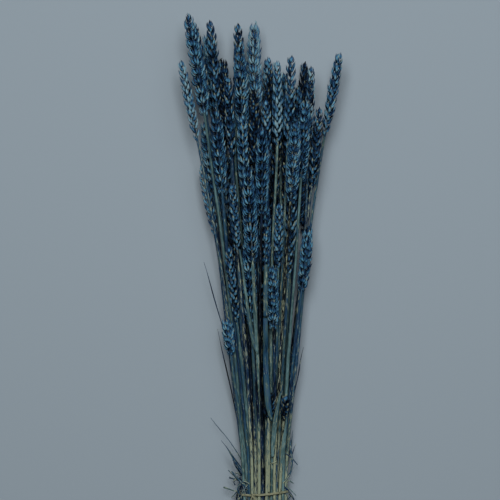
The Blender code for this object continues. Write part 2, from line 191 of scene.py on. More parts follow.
def half_axes(y, tips, lengths):
    """Half width and half thickness of each stalk at each height, as heights x stalks.

    Above its tip a stalk needs no room and both are 0."""
    along = (y[:, None] - (tips - lengths)) / lengths
    share = ear_width_share(np.clip(along, 0, 1))
    margin = CHECK_STEP / 2 / lengths
    in_ear = along > -margin
    gone = along > 1 + margin
    straw = straw_radius(y)[:, None]
    wide = np.where(in_ear, EAR_HALF_WIDTH * share, straw)
    thin = np.where(in_ear, EAR_HALF_THICKNESS * share, straw)
    return np.where(gone, 0, wide), np.where(gone, 0, thin)


def wanted_paths(at_tie, at_tip, tips):
    """Where each stalk would pass each station if it had the bunch for itself."""
    along = np.clip(STATIONS[:, None] / tips, 0, 1.15)
    along = (1 - CURVE) * along + CURVE * along**3
    low = spot(at_tie, np.minimum(STATIONS, 0)[:, None])
    high = spot(at_tip, tips)
    return low + (high - low) * along[..., None]


def settle(at_tie, at_tip, tips, lengths, turns):
    """Where each stalk passes each station, as stations x stalks x (across, up).

    Each stalk starts on its wanted path. Rounds of small moves then push apart those that cross, lift
    those that sink into the surface, and keep every straw nearly straight. Two stalks are clear of each
    other once their middles are further apart than both reach along the line between them."""
    wanted = wanted_paths(at_tie, at_tip, tips)
    heights = np.arange(STATIONS[0], STATIONS[-1], CHECK_STEP)
    share = np.stack([np.interp(heights, STATIONS, row) for row in np.eye(len(STATIONS))], axis=1)
    between = ((STATIONS[1:-1] - STATIONS[:-2]) / (STATIONS[2:] - STATIONS[:-2]))[:, None, None]
    wide, thin = half_axes(heights, tips, lengths)
    there = wide > 0
    meet = there[:, :, None] & there[:, None, :] & ~np.eye(STALKS, dtype=bool)
    side = np.stack([np.cos(turns), np.sin(turns)])
    wide2, thin2 = wide[:, :, None] ** 2, thin[:, :, None] ** 2
    near_tie = np.abs(heights) < CHECK_STEP
    centre, half_width, middle, half_height = section(heights)
    own = np.abs(np.einsum("hs,sn->hn", share, wanted[..., 0]) - centre[:, None])
    edge = np.maximum(half_width[:, None], own)
    tie_centre = np.stack([centre, middle], axis=-1)[near_tie, None]
    tie_axes = np.stack([half_width, half_height], axis=-1)[near_tie, None]
    floor = np.hypot(wide * side[1], thin * side[0]) - np.where(wide > 2 * STRAW_LOW_RADIUS, EAR_PRESS, 0)
    floor = floor + np.where(near_tie, TWINE + GAP, 0.0)[:, None]
    at = wanted.copy()
    for done in range(SETTLE_ROUNDS):
        early = 1 - done / SETTLE_ROUNDS
        here = np.einsum("hs,snc->hnc", share, at)
        apart = here[:, :, None] - here[:, None]
        distance = np.maximum(np.sqrt(apart[..., 0] ** 2 + apart[..., 1] ** 2), 1e-6)
        facing = (apart[..., 0] * side[0][:, None] + apart[..., 1] * side[1][:, None]) / distance
        facing = facing**2
        reach = np.sqrt(wide2 * facing + thin2 * (1 - facing))
        room = reach + reach.transpose(0, 2, 1) + GAP
        short = np.where(meet, np.maximum(room - distance, 0), 0)
        push = 0.5 * (apart * (short / distance)[..., None]).sum(axis=2)
        push[..., 1] += np.where(there, np.maximum(floor - here[..., 1], 0), 0)
        off = here[..., 0] - centre[:, None]
        push[..., 0] += np.where(there, np.clip(off, -edge, edge) - off, 0)
        held = (here[near_tie] - tie_centre) / tie_axes
        outside = np.maximum(np.linalg.norm(held, axis=-1, keepdims=True), 1)
        push[near_tie] += TIE_HOLD * early * held * (1 / outside - 1) * tie_axes
        weight = np.linalg.norm(push, axis=-1, keepdims=True) + 1e-9
        moved = np.einsum("hs,hnc->snc", share, push * weight)
        moved = moved / (np.einsum("hs,hnc->snc", share, weight) + 1e-12)
        at = at + moved
        at = at + PLACE_PULL * early * (wanted - at)
        straight = at[:-2] + (at[2:] - at[:-2]) * between
        at[1:-1] = at[1:-1] + STRAIGHT_PULL * early * (straight - at[1:-1])
    return at


def path_at(y, across_up):
    """Point of a stalk at each height, on straight runs between its stations."""
    across = np.interp(y, STATIONS, across_up[:, 0])
    up = np.interp(y, STATIONS, across_up[:, 1])
    return np.stack([across, y, up], axis=-1)


def choose_twins(at, fills):
    """Pairs of filling stalks whose straws lie closest together below the tie, no stalk in two pairs."""
    low = np.stack([path_at(TWIN_HEIGHT, at[:, n]) for n in range(STALKS)])
    distance = np.linalg.norm(low[:, None] - low[None], axis=-1)
    distance[~fills] = np.inf
    distance[:, ~fills] = np.inf
    np.fill_diagonal(distance, np.inf)
    pairs = []
    for _ in range(TWINS):
        first, second = np.unravel_index(np.argmin(distance), distance.shape)
        pairs.append((int(min(first, second)), int(max(first, second))))
        distance[[first, second]] = np.inf
        distance[:, [first, second]] = np.inf
    return pairs


at_tie, at_tip, tips, lengths, cuts, turns, fills = choose_stalks()
at = settle(at_tie, at_tip, tips, lengths, turns)
twins = choose_twins(at, fills)

# The straw: a hollow, finely ribbed stem, dried and dipped in blue dye. The dye takes evenly near the
# ears and thinly lower down, where the yellow of the straw shows through in streaks. One swollen knee
# carries the top leaf, whose sheath wraps the straw above it like a sleeve.
STRAW_SIDES = 10
STRAW_STEP = 7 * MM
SOFT_BEND = 22 * MM  # a straw turns gently over this much of its length
WALL = 0.45 * MM
HOLLOW_DEPTH = 7 * MM  # how far the hollow is seen into the cut end
INTO_EAR = 6 * MM  # how far a straw goes on inside its ear
KNEE_HEIGHTS = (18 * MM, 175 * MM)
KNEE_SWELL = 0.32  # share by which the knee is thicker than the straw
KNEE_HALF_LENGTH = 2.2 * MM
SHEATH_WALL = 0.3 * MM
SHEATH_LENGTHS = (60 * MM, 150 * MM)
SHEATH_CLEAR = 25 * MM  # least bare straw between a sheath and the ear
NAVY = (0.0008, 0.0028, 0.0060)
DEEP_BLUE = (0.006, 0.023, 0.064)
STRAW_BLUE = (0.020, 0.074, 0.135)
GREY_GREEN = (0.042, 0.086, 0.086)
STRAW_TEAL = (0.112, 0.212, 0.232)
STRAW_YELLOW = (0.30, 0.345, 0.240)
STRAW_DYE = ((0.05, NAVY), (0.25, DEEP_BLUE), (0.45, STRAW_BLUE), (0.6, GREY_GREEN), (0.85, STRAW_TEAL))
FADING_HEIGHT = 120 * MM  # above the tie, from which the dye gets thinner downwards
HUSK, STRAW = 0, 1  # order of the two materials on a stalk


def smooth_path(y, across_up):
    """Middle of a stalk at each height: the mean of its straight runs over SOFT_BEND either way."""
    nearby = np.linspace(-1, 1, 9) * SOFT_BEND
    return path_at(np.asarray(y)[..., None] + nearby, across_up).mean(axis=-2)


def unit(vectors):
    """The same directions, each of length 1."""
    return vectors / np.linalg.norm(vectors, axis=-1, keepdims=True)


def directions(y, across_up, turn):
    """Along a stalk, across both rows of its ear, and through it, at each height.

    Along is the path's own heading. Across is the level direction square to it, turned about it."""
    step = 4 * MM
    along = unit(smooth_path(y + step, across_up) - smooth_path(y - step, across_up))
    level = unit(np.array([1.0, 0.0, 0.0]) - along[..., :1] * along)
    upright = np.cross(level, along)
    across = np.cos(turn) * level + np.sin(turn) * upright
    return along, across, np.cross(across, along)


def tube_faces(rings, sides):
    """Corners of the faces of a closed tube: four for each wall face, three for each face of an end.

    The points are rings x sides, then the middle of the first end and of the last."""
    ring, side = np.meshgrid(np.arange(rings - 1), np.arange(sides), indexing="ij")
    low, beside = ring * sides + side, ring * sides + (side + 1) % sides
    wall = np.stack([low, beside, beside + sides, low + sides], axis=-1).reshape(-1, 4)
    j = np.arange(sides)
    first, last = rings * sides, rings * sides + 1
    foot = np.stack([(j + 1) % sides, j, np.full(sides, first)], axis=-1)
    top = (rings - 1) * sides
    head = np.stack([top + j, top + (j + 1) % sides, np.full(sides, last)], axis=-1)
    return wall, np.concatenate([foot, head])


def tube(middles, one_way, other_way, reach_one, reach_other):
    """Points of a closed tube: at each middle, a ring of one_way cos + other_way sin, each by its reach.

    Reaches are (..., rings, sides) or less. The two end middles follow the rings as poles."""
    turn = round_turns(reach_one.shape[-1])
    x = (reach_one * np.cos(turn))[..., None]
    z = (reach_other * np.sin(turn))[..., None]
    rings = middles[..., None, :] + x * one_way[..., None, :] + z * other_way[..., None, :]
    flat = rings.reshape(*rings.shape[:-3], -1, 3)
    return np.concatenate([flat, middles[..., :1, :], middles[..., -1:, :]], axis=-2)


def round_turns(sides):
    """Angles of the points of a ring, evenly round it."""
    return np.arange(sides) * 2 * math.pi / sides


def per_point(values, sides):
    """What each ring of a tube holds, for each of its points, and then for its two end middles."""
    return np.concatenate([np.repeat(values, sides, axis=0), values[[0, -1]]])


def columns(*values):
    """Numbers and arrays side by side, as points x values."""
    return np.stack(np.broadcast_arrays(*values), axis=-1).astype(float)


def straw_patch(n, pale, rng):
    """Straw n as one tube: up its outside from the cut to the ear, and down inside the hollow cut end.

    Radius = straw radius, x (1 + swell) at the knee along a bell curve, + the sheath's wall above it."""
    foot = tips[n] - lengths[n]
    knee = rng.uniform(*KNEE_HEIGHTS)
    sheath_end = min(knee + rng.uniform(*SHEATH_LENGTHS), foot - SHEATH_CLEAR)
    even = np.linspace(cuts[n], foot + INTO_EAR, max(8, int((foot - cuts[n]) / STRAW_STEP)))
    swelling = knee + np.array([-1, -0.5, 0, 0.5, 1]) * KNEE_HALF_LENGTH
    sheath_edge = sheath_end + np.array([-1, 1]) * SHEATH_WALL
    hollow = cuts[n] + np.array([1.0, 0.35, 0.0]) * HOLLOW_DEPTH
    y = np.concatenate([hollow, np.sort(np.concatenate([even, swelling, sheath_edge]))])
    radius = straw_radius(y) * (1 + KNEE_SWELL * np.exp(-(((y - knee) / KNEE_HALF_LENGTH) ** 2)))
    radius = radius + SHEATH_WALL * ((y > knee) & (y < sheath_end))
    radius[: len(hollow)] = STRAW_LOW_RADIUS - WALL
    _, across, through = directions(y, at[:, n], turns[n])
    reach = np.repeat(radius[:, None], STRAW_SIDES, axis=1)
    points = tube(smooth_path(y, at[:, n]), across, -through, reach, reach)
    turn = round_turns(STRAW_SIDES)
    x, z = (np.append(reach * wave(turn), [0, 0]) for wave in (np.cos, np.sin))
    shift = rng.uniform(0, 1, 3)
    fibre = columns(x, z, per_point(y, STRAW_SIDES)) + shift
    outside = per_point(np.arange(len(y)) > 1, STRAW_SIDES)
    # Straws that only fill the bunch get half the tone, so they are darker: painted shade inside the
    # bunch.
    look = columns(shift[0] * (0.5 if fills[n] else 1.0), pale, outside)
    return points[None], fibre[None], look[None], tube_faces(len(y), STRAW_SIDES), STRAW


def feed(tree, value, target):
    """Give a socket its value: a link from another socket, or a plain number or colour."""
    if isinstance(value, bpy.types.NodeSocket):
        tree.links.new(value, target)
    else:
        target.default_value = (*value, 1) if np.ndim(value) else value


def fibre_group():
    """Streaks and patches along the fibre attribute, each a noise drawn out along the piece's length.

    Streaks are fine ribs, 9 times as long as wide, for bump and colour. Patches are slow changes."""
    group = bpy.data.node_groups.new("fibre_streaks", "ShaderNodeTree")
    group.interface.new_socket("Scale", in_out="INPUT", socket_type="NodeSocketFloat")
    for name in ("Streaks", "Patches"):
        group.interface.new_socket(name, in_out="OUTPUT", socket_type="NodeSocketFloat")
    given, out = group.nodes.new("NodeGroupInput"), group.nodes.new("NodeGroupOutput")
    fibre = group.nodes.new("ShaderNodeAttribute")
    fibre.attribute_name = "fibre"
    for name, scale, squeeze, detail, roughness in (
        ("Streaks", given.outputs["Scale"], 1 / 9, 3, 0.6),
        ("Patches", 160, 0.25, 4, 0.5),
    ):
        stretch = group.nodes.new("ShaderNodeMapping")
        stretch.inputs["Scale"].default_value = (1, 1, squeeze)
        group.links.new(fibre.outputs["Vector"], stretch.inputs["Vector"])
        noise = group.nodes.new("ShaderNodeTexNoise")
        noise.inputs["Detail"].default_value = detail
        noise.inputs["Roughness"].default_value = roughness
        group.links.new(stretch.outputs["Vector"], noise.inputs["Vector"])
        feed(group, scale, noise.inputs["Scale"])
        group.links.new(noise.outputs["Fac"], out.inputs[name])
    return group


def ramp(tree, tone, stops):
    """Colour of a tone, from the (place, colour) stops that it lies between."""
    node = tree.nodes.new("ShaderNodeValToRGB")
    while len(node.color_ramp.elements) < len(stops):
        node.color_ramp.elements.new(0.5)
    for element, (place, colour) in zip(node.color_ramp.elements, stops):
        element.position = place
        element.color = (*colour, 1)
    tree.links.new(tone, node.inputs["Fac"])
    return node.outputs["Color"]


def mix(tree, factor, first, second):
    """A mix of two colours by a factor, each of them a socket or a plain value."""
    node = tree.nodes.new("ShaderNodeMix")
    node.data_type = "RGBA"
    for value, place in ((factor, 0), (first, 6), (second, 7)):
        feed(tree, value, node.inputs[place])
    return node.outputs[2]


def calculate(tree, operation, first, second):
    """A sum, difference or product of two sockets or numbers."""
    node = tree.nodes.new("ShaderNodeMath")
    node.operation = operation
    for value, target in zip((first, second), node.inputs):
        feed(tree, value, target)
    return node.outputs[0]


def remap(tree, value, low, high, to_low=0.0, to_high=1.0):
    """A value that goes smoothly from to_low to to_high as another goes from low to high."""
    node = tree.nodes.new("ShaderNodeMapRange")
    node.interpolation_type = "SMOOTHSTEP"
    tree.links.new(value, node.inputs["Value"])
    for name, number in zip(("From Min", "From Max", "To Min", "To Max"), (low, high, to_low, to_high)):
        node.inputs[name].default_value = number
    return node.outputs["Result"]


def weigh(tree, *terms, more):
    """Sum of values times their weights, and one number more."""
    total = more
    for value, weight in terms:
        total = calculate(tree, "ADD", calculate(tree, "MULTIPLY", value, weight), total)
    return total


def start_material(name, streak_scale):
    """A material and its nodes, the three numbers of the look attribute, and its streaks and patches."""
    material = bpy.data.materials.new(name)
    material.use_nodes = True
    tree = material.node_tree
    look = tree.nodes.new("ShaderNodeAttribute")
    look.attribute_name = "look"
    parts = tree.nodes.new("ShaderNodeSeparateXYZ")
    tree.links.new(look.outputs["Vector"], parts.inputs["Vector"])
    fibres = tree.nodes.new("ShaderNodeGroup")
    fibres.node_tree = FIBRE_STREAKS
    fibres.inputs["Scale"].default_value = streak_scale
    return material, tree, parts.outputs, fibres.outputs


def set_shader(tree, colour, streaks, roughness, gloss, bump, bump_depth):
    """Give the shader its colour, roughness and gloss, and ribs of this depth from the streaks."""
    shader = tree.nodes["Principled BSDF"]
    tree.links.new(colour, shader.inputs["Base Color"])
    feed(tree, roughness, shader.inputs["Roughness"])
    shader.inputs["Specular IOR Level"].default_value = gloss
    ribs = tree.nodes.new("ShaderNodeBump")
    ribs.inputs["Strength"].default_value = bump
    ribs.inputs["Distance"].default_value = bump_depth
    tree.links.new(streaks, ribs.inputs["Height"])
    tree.links.new(ribs.outputs["Normal"], shader.inputs["Normal"])


def straw_material():
    """Dyed straw: each its own black, blue or grey green, with yellow streaks where the dye is thin.

    Look is the straw's own tone, halved as painted shade for straws inside the bunch, its paleness and
    1 outside, 0 in its hollow, which is painted near black as shade."""
    material, tree, (own, pale, outside), (streaks, patches) = start_material("dyed_straw", 1300)
    place = tree.nodes.new("ShaderNodeTexCoord")
    where = tree.nodes.new("ShaderNodeSeparateXYZ")
    tree.links.new(place.outputs["Object"], where.inputs["Vector"])
    low = remap(tree, where.outputs["Y"], 0.0, FADING_HEIGHT, 1.0, 0.0)
    tone = weigh(tree, (own, 0.75), (patches, 0.9), (streaks, 0.9), (low, 0.16), more=-0.90)
    dyed = ramp(tree, tone, STRAW_DYE)
    thinned = calculate(tree, "MULTIPLY", low, pale)
    bare = weigh(tree, (streaks, 1.2), (low, 0.07), (thinned, 0.14), (pale, 0.11), more=-0.12)
    coloured = mix(tree, remap(tree, bare, 0.63, 0.72), dyed, STRAW_YELLOW)
    roughness = remap(tree, streaks, 0.3, 0.7, 0.42, 0.65)
    # Inside the hollow cut end the straw is NAVY, near black: painted shade in the hollow.
    set_shader(tree, mix(tree, outside, NAVY, coloured), streaks, roughness, 0.12, 0.4, 0.15 * MM)
    return material


FIBRE_STREAKS = fibre_group()

# The ear: a jointed stem with spikelets by turns on its two broad faces. A spikelet is a fan of
# boat-shaped husks, two short outer ones and five that hold the grains, each fat at its foot and drawn
# out to a point. Painted shade makes the husks near black at their roots and inside, and darker towards
# their tips, where the husks above cover them. Low on their backs they are palest, partly paler dye and
# partly a painted highlight. The dye misses spots near their tips.
SPIKELET_STEPS = ((30, 72, 107), (2.8, 3.6, 4.9))  # millimetres of ear, and from spikelet to spikelet
USUAL_STEP = 4.1 * MM
EAR_START = 1 * MM  # from the ear's foot to its first spikelet
TIP_LENGTH = 9 * MM  # of the spikelet at the ear's tip
EAR_STEM_RADIUS = 1.1 * MM
EAR_STEM_SIDES = 6
EAR_STEM_TONE = 0.45
HUSK_FOOT = 0.7 * MM  # from the middle of the stem to where a husk starts
# Each row is one husk of a spikelet: how far it opens to either side of the fan and how far it leans
# out from the face, in degrees, where it starts across and up, its length and its width, in
# millimetres, and how far its back looks to the side, from 0 away from the face to 1 sideways
HUSKS = (
    (42, 14, 1.9, 0.0, 8.4, 3.1, 1.0),
    (-42, 14, -1.9, 0.5, 8.4, 3.1, -1.0),
    (31, 20, 1.5, 1.4, 9.6, 3.0, 0.8),
    (-31, 20, -1.5, 1.9, 9.6, 3.0, -0.8),
    (18, 26, 0.9, 3.0, 9.8, 2.8, 0.4),
    (-18, 26, -0.9, 3.6, 9.8, 2.8, -0.4),
    (1, 31, 0.0, 4.6, 8.8, 2.5, 0.0),
)
TIP_HUSKS = (
    (11, 9, 0.7, 0.0, 8.6, 3.0, 0.8),
    (-11, 9, -0.7, 0.6, 8.6, 3.0, -0.8),
    (4, -7, 0.2, 1.4, 9.0, 2.8, 0.3),
    (-5, -8, -0.2, 1.8, 8.8, 2.8, -0.3),
)
CLOSING = ((0.0, 0.6, 0.85, 1.0), (1.0, 0.95, 0.7, 0.5))  # how far husks open, by their way up the ear
HUSK_UNEVEN = 3.5  # degrees
HUSK_PLACES = np.array([0.0, 0.07, 0.2, 0.38, 0.6, 0.82, 1.0])  # rings along a husk, as shares of it
HUSK_SIDES = 6
HUSK_TURNS = math.pi / 2 + round_turns(HUSK_SIDES)
HUSK_DEPTH = 0.7  # share of its width
# Ears inside the bunch and ears that end lower than this get a near-black tone: painted shade.
PAINTED_SHADE_BELOW = 125 * MM  # ears that end lower than this are as dark as those inside the bunch
STEEL_BLUE = (0.025, 0.098, 0.222)
PALE_TEAL = (0.095, 0.305, 0.470)
ASH = (0.24, 0.40, 0.47)
CREAM = (0.33, 0.38, 0.27)
HUSK_DYE = ((0.19, NAVY), (0.38, DEEP_BLUE), (0.57, STEEL_BLUE), (0.77, PALE_TEAL), (1.0, ASH))


def spikelets_of(n):
    """Number of spikelets on ear n below the one at its tip, and the way from each to the next."""
    step = np.interp(lengths[n] / MM, *SPIKELET_STEPS) * MM
    count = round((lengths[n] - TIP_LENGTH) / step)
    return count, (lengths[n] - TIP_LENGTH - EAR_START) / count


def husk_points(base, heading, back, length, width):
    """Points of many husks at once, each a closed boat shape, as husks x points x 3.

    At share t of its length a husk is (t + 0.05)^0.45 * (1.02 - t)^0.8 wide, scaled to 1 at its widest,
    and it bulges by a half sine wave towards its back. Its back is full, with a keel, its inside flat."""
    t = HUSK_PLACES
    girth = (t + 0.05) ** 0.45 * (1.02 - t) ** 0.8
    half = (0.5 * width[:, None] * girth / girth.max())[..., None]
    x, z = np.cos(HUSK_TURNS), np.sin(HUSK_TURNS)
    z = np.where(z > 0, z * (1 + 0.25 * z**8), 0.35 * z)
    bulge = 0.16 * np.sin(math.pi * np.clip(t * 1.1, 0, 1))
    middles = base[:, None] + heading[:, None] * (length[:, None] * t)[..., None]
    middles = middles + back[:, None] * (length[:, None] * bulge)[..., None]
    side = np.cross(heading, back)
    rings = middles[:, :, None] + side[:, None, None] * (half * x)[..., None]
    rings = rings + back[:, None, None] * (HUSK_DEPTH * half * z)[..., None]
    flat = rings.reshape(len(base), -1, 3)
    tip = middles[:, -1] + heading * (0.08 * length)[:, None]
    return np.concatenate([flat, middles[:, :1], tip[:, None]], axis=1)


def ear_patch(n, pale, rng):
    """All husks of ear n. Each starts from the ear's stem at its spikelet and leans out from it.

    Heading = along * cos(lean) + out * sin(lean), turned towards the fan's side by its opening. Both
    angles shrink towards the tip of the ear, as CLOSING says."""
    foot, length = tips[n] - lengths[n], lengths[n]
    count, step = spikelets_of(n)
    k = np.arange(count + 1)
    y = foot + EAR_START + k * step
    stretch = np.clip(step / USUAL_STEP, 0.85, 1.12)
    along, across, through = directions(y, at[:, n], turns[n])
    middles = smooth_path(y, at[:, n])
    share = ear_width_share((y - foot) / length) * np.interp(k, (0, 1, 2), (0.80, 0.92, 1))
    face = np.where(k % 2 == 0, 1.0, -1.0)[:, None]
    parts = []
    for spikelets, husks, out, fan in (
        (k[:-1], HUSKS, through * face, across * face),
        (k[-1:], TIP_HUSKS, across, through),
    ):
        opening, lean, start, up, size, width, sideways = np.array(husks).T[:, None, :]
        shape = (len(spikelets), len(husks))
        closing = np.interp(y[spikelets], foot + np.array(CLOSING[0]) * length, CLOSING[1])[:, None]
        lean = np.radians(lean * closing + rng.normal(0, HUSK_UNEVEN, shape))
        opening = np.radians(opening * closing + rng.normal(0, HUSK_UNEVEN, shape))
        scale = share[spikelets, None] * rng.uniform(0.93, 1.07, shape)
        ahead, away, aside = (way[spikelets, None] for way in (along, out, fan))
        heading = ahead * np.cos(lean)[..., None] + away * np.sin(lean)[..., None]
        heading = unit(heading * np.cos(opening)[..., None] + aside * np.sin(opening)[..., None])
        back = away * (1 - np.abs(sideways))[..., None] + aside * sideways[..., None]
        back = unit(back - (back * heading).sum(axis=-1, keepdims=True) * heading)
        base = middles[spikelets, None] + away * HUSK_FOOT
        base = base + aside * (start * MM * scale)[..., None]
        base = base + ahead * (up * MM * scale * stretch)[..., None]
        sizes = (size * MM * scale * stretch, width * MM * scale, rng.uniform(0, 1, shape))
        parts.append([v.reshape(-1, 3) for v in (base, heading, back)] + [v.ravel() for v in sizes])
    base, heading, back, size, width, each = (np.concatenate(v) for v in zip(*parts))
    points = husk_points(base, heading, back, size, width)
    x = np.append(np.tile(np.cos(HUSK_TURNS), len(HUSK_PLACES)), [0, 0])
    inside = np.append(np.tile(np.sin(HUSK_TURNS) < -0.1, len(HUSK_PLACES)), [1, 0])
    rise = per_point(HUSK_PLACES, HUSK_SIDES)
    fibre = columns(x * width[:, None] / 2, 0, rise * size[:, None])
    fibre = fibre + each[:, None, None] * np.array([1.0, 3.0, 2.0])
    # Ears inside the bunch or ending low get a near-black tone as painted shade; the others get a random
    # tone of their own.
    ear_tone_and_shade = rng.uniform(-0.3, 0.05) if fills[n] or tips[n] < PAINTED_SHADE_BELOW else rng.uniform(0.35, 0.9)
    look = columns((0.38 * each + 0.62 * ear_tone_and_shade)[:, None], pale, rise * (1 - inside))
    return points, fibre, look, tube_faces(len(HUSK_PLACES), HUSK_SIDES), HUSK


def ear_stem_patch(n, pale, rng):
    """The jointed stem in the middle of ear n: a thin tube that steps to and fro from row to row."""
    foot = tips[n] - lengths[n]
    count, step = spikelets_of(n)
    y = np.linspace(foot - 4 * MM, tips[n] - 8 * MM, 2 * count + 1)
    _, across, through = directions(y, at[:, n], turns[n])
    to_and_fro = 0.5 * MM * np.sin((y - foot) / step * math.pi)
    middles = smooth_path(y, at[:, n]) + across * to_and_fro[:, None]
    radius = EAR_STEM_RADIUS * np.interp(y, (foot, tips[n]), (1, 0.6))
    reach = np.repeat(radius[:, None], EAR_STEM_SIDES, axis=1)
    points = tube(middles, across, -through, reach, reach * 0.8)
    fibre = points + rng.uniform(0, 1, 3)
    look = columns(EAR_STEM_TONE, pale, np.ones(len(points)))
    return points[None], fibre[None], look[None], tube_faces(len(y), EAR_STEM_SIDES), STRAW


def husk_material():
    """Dyed husks with painted light and shade: painted shade makes them near black at their roots and
    inside and darker again towards their tips. They are palest low on their backs, partly paler dye and
    partly a painted highlight, with cream spots near the tip.

    Look is the husk's own tone, near black as painted shade for ears inside or low in the bunch, the
    paleness of its ear and the way along the husk, 0 on its inside."""
    material, tree, (own, pale, along), (streaks, patches) = start_material("dyed_husk", 1500)
    # Painted shade and highlight along the husk: near black at its root and on its inside, brightest just
    # past the root, darker towards its tip.
    full = remap(tree, along, 0.0, 0.12)
    tone = calculate(tree, "SUBTRACT", full, remap(tree, along, 0.35, 1.0, 0.0, 0.55))
    tone = calculate(tree, "MULTIPLY", tone, weigh(tree, (patches, 1.5), more=-0.13))
    tone = weigh(tree, (tone, 1.20), (own, 0.52), (pale, 0.08), (streaks, 0.6), more=-0.70)
    spots = calculate(tree, "MULTIPLY", remap(tree, along, 0.6, 0.95), remap(tree, patches, 0.50, 0.64))
    tipped = mix(tree, spots, ramp(tree, tone, HUSK_DYE), CREAM)
    worn = calculate(tree, "MULTIPLY", remap(tree, pale, 0.35, 1.0), full)
    worn = calculate(tree, "MULTIPLY", worn, remap(tree, patches, 0.45, 0.65, 0.0, 0.75))
    roughness = remap(tree, streaks, 0.3, 0.7, 0.5, 0.75)
    set_shader(tree, mix(tree, worn, tipped, ASH), streaks, roughness, 0.08, 0.5, 0.2 * MM)
    return material


# The dry leaves: thin folded blades, each grown on its straw from a sheath round it. On the way to
# drying they left the straws, curled outwards and wound about their own length.
# Each row has the side of the bunch that it stands on, in degrees from +X towards +Z, the height of
# its root, its length, its width and how far its tip stands out from the straw, all in millimetres,
# and how far its blade is turned about its own length, in degrees.
LEAVES = (
    (180, 138, 104, 2.6, 17, 0),
    (188, 52, 120, 2.4, 13, 0),
    (186, 30, 56, 3.0, 30, 15),
    (170, 18, 42, 6.4, 21, 65),
    (200, 12, 24, 2.4, 12, 0),
    (8, 88, 64, 2.6, 6, 0),
    (20, 22, 30, 2.4, 9, 0),
    (345, 12, 52, 3.0, 6, 20),
    (70, 20, 66, 4.2, 9, 0),
    (110, 60, 84, 3.6, 9, 0),
    (95, 128, 112, 3.0, 17, 0),
)
LEAF_THICKNESS = 0.55 * MM
LEAF_RINGS = 28
LEAF_SIDES = 10
LEAF_FOLD = 0.35  # how far its edges rise above the vein, as a share of the half width
LEAF_CURL = 1.25  # 1 for a leaf that stands out straight, more for one that bends out late
LEAF_TWIST = 0.8  # how far a blade winds about its length by its tip, in half turns
LEAF_WAVE = 0.45 * MM


def blade(middles, across, face, half, way, form, tone, paleness, rng):
    """A blade along its middles: a flat loop across, folded on either side of its vein.

    Form is the loop's sides, its thickness and its fold. Lift towards its face = fold * way out from
    the vein, and below 0 the edges hang."""
    sides, thickness, fold = form
    reach = np.repeat(half[:, None], sides, axis=1)
    points = tube(middles, across, -face, reach, np.full_like(reach, thickness / 2))
    x = np.append(reach * np.cos(round_turns(sides)), [0, 0])
    points = points + per_point(face, sides) * (fold * np.abs(x))[:, None]
    shift = rng.uniform(0, 1, 3)
    fibre = columns(x, 0, per_point(way, sides)) + shift
    look = columns(shift[0] if tone is None else tone, paleness, np.ones(len(x)))
    return points[None], fibre[None], look[None], tube_faces(len(middles), sides), STRAW


def leaf_patch(leaf, root, along, out, rng):
    """A leaf on its root straw: middle = root + along * way + out * reach * t^LEAF_CURL, with a wave.

    Its blade winds about this line towards the tip."""
    _, _, length, width, reach, turned = leaf
    length, width, reach = length * MM, width * MM, reach * MM
    t = np.linspace(0, 1, LEAF_RINGS)
    flat = unit(np.cross(along, out))
    wave = LEAF_WAVE * np.sin(t * 9 + rng.uniform(0, 6)) * t
    middles = root + along * (math.sqrt(length**2 - reach**2) * t)[:, None]
    middles = middles + out * (reach * t**LEAF_CURL + wave)[:, None]
    angle = math.radians(turned) + rng.choice([-1, 1]) * LEAF_TWIST * math.pi / 2 * t**1.5
    across = np.cos(angle)[:, None] * flat + np.sin(angle)[:, None] * out
    half = 0.5 * width * (0.45 + 1.9 * t * (1 - t) + 0.1 * (1 - t)) * (1 - t**4)
    half = np.maximum(half, 0.2 * MM)
    form = (LEAF_SIDES, LEAF_THICKNESS, LEAF_FOLD)
    return blade(middles, across, np.cross(across, along), half, length * t, form, None, 0.0, rng)


# The stalks put together: each straw, its ear and its dry leaves grew as one piece. Nine pairs of
# straws share a root knuckle below the tie. All went through one dye bath, and a few took hardly any.
# Points across and along the bunch, in millimetres, where the topmost straw or ear took hardly any dye
PALE_STRAWS = (
    (-54, 245), (-7, 170), (13, 160), (16, 215), (38, 240), (9, 335), (-60, 320),
    (-16, 45), (-7, 45), (0, 45), (20, 45), (10, 15), (5, 15),
)
PALE_EARS = ((15, 370), (-84, 420), (50, 390), (-27, 220))
PALE_REACH = 4 * MM  # how far beside its point such a straw or ear may pass
JOINT_RINGS = 7
JOINT_SIDES = 8
WHEAT_MATERIALS = (husk_material(), straw_material())


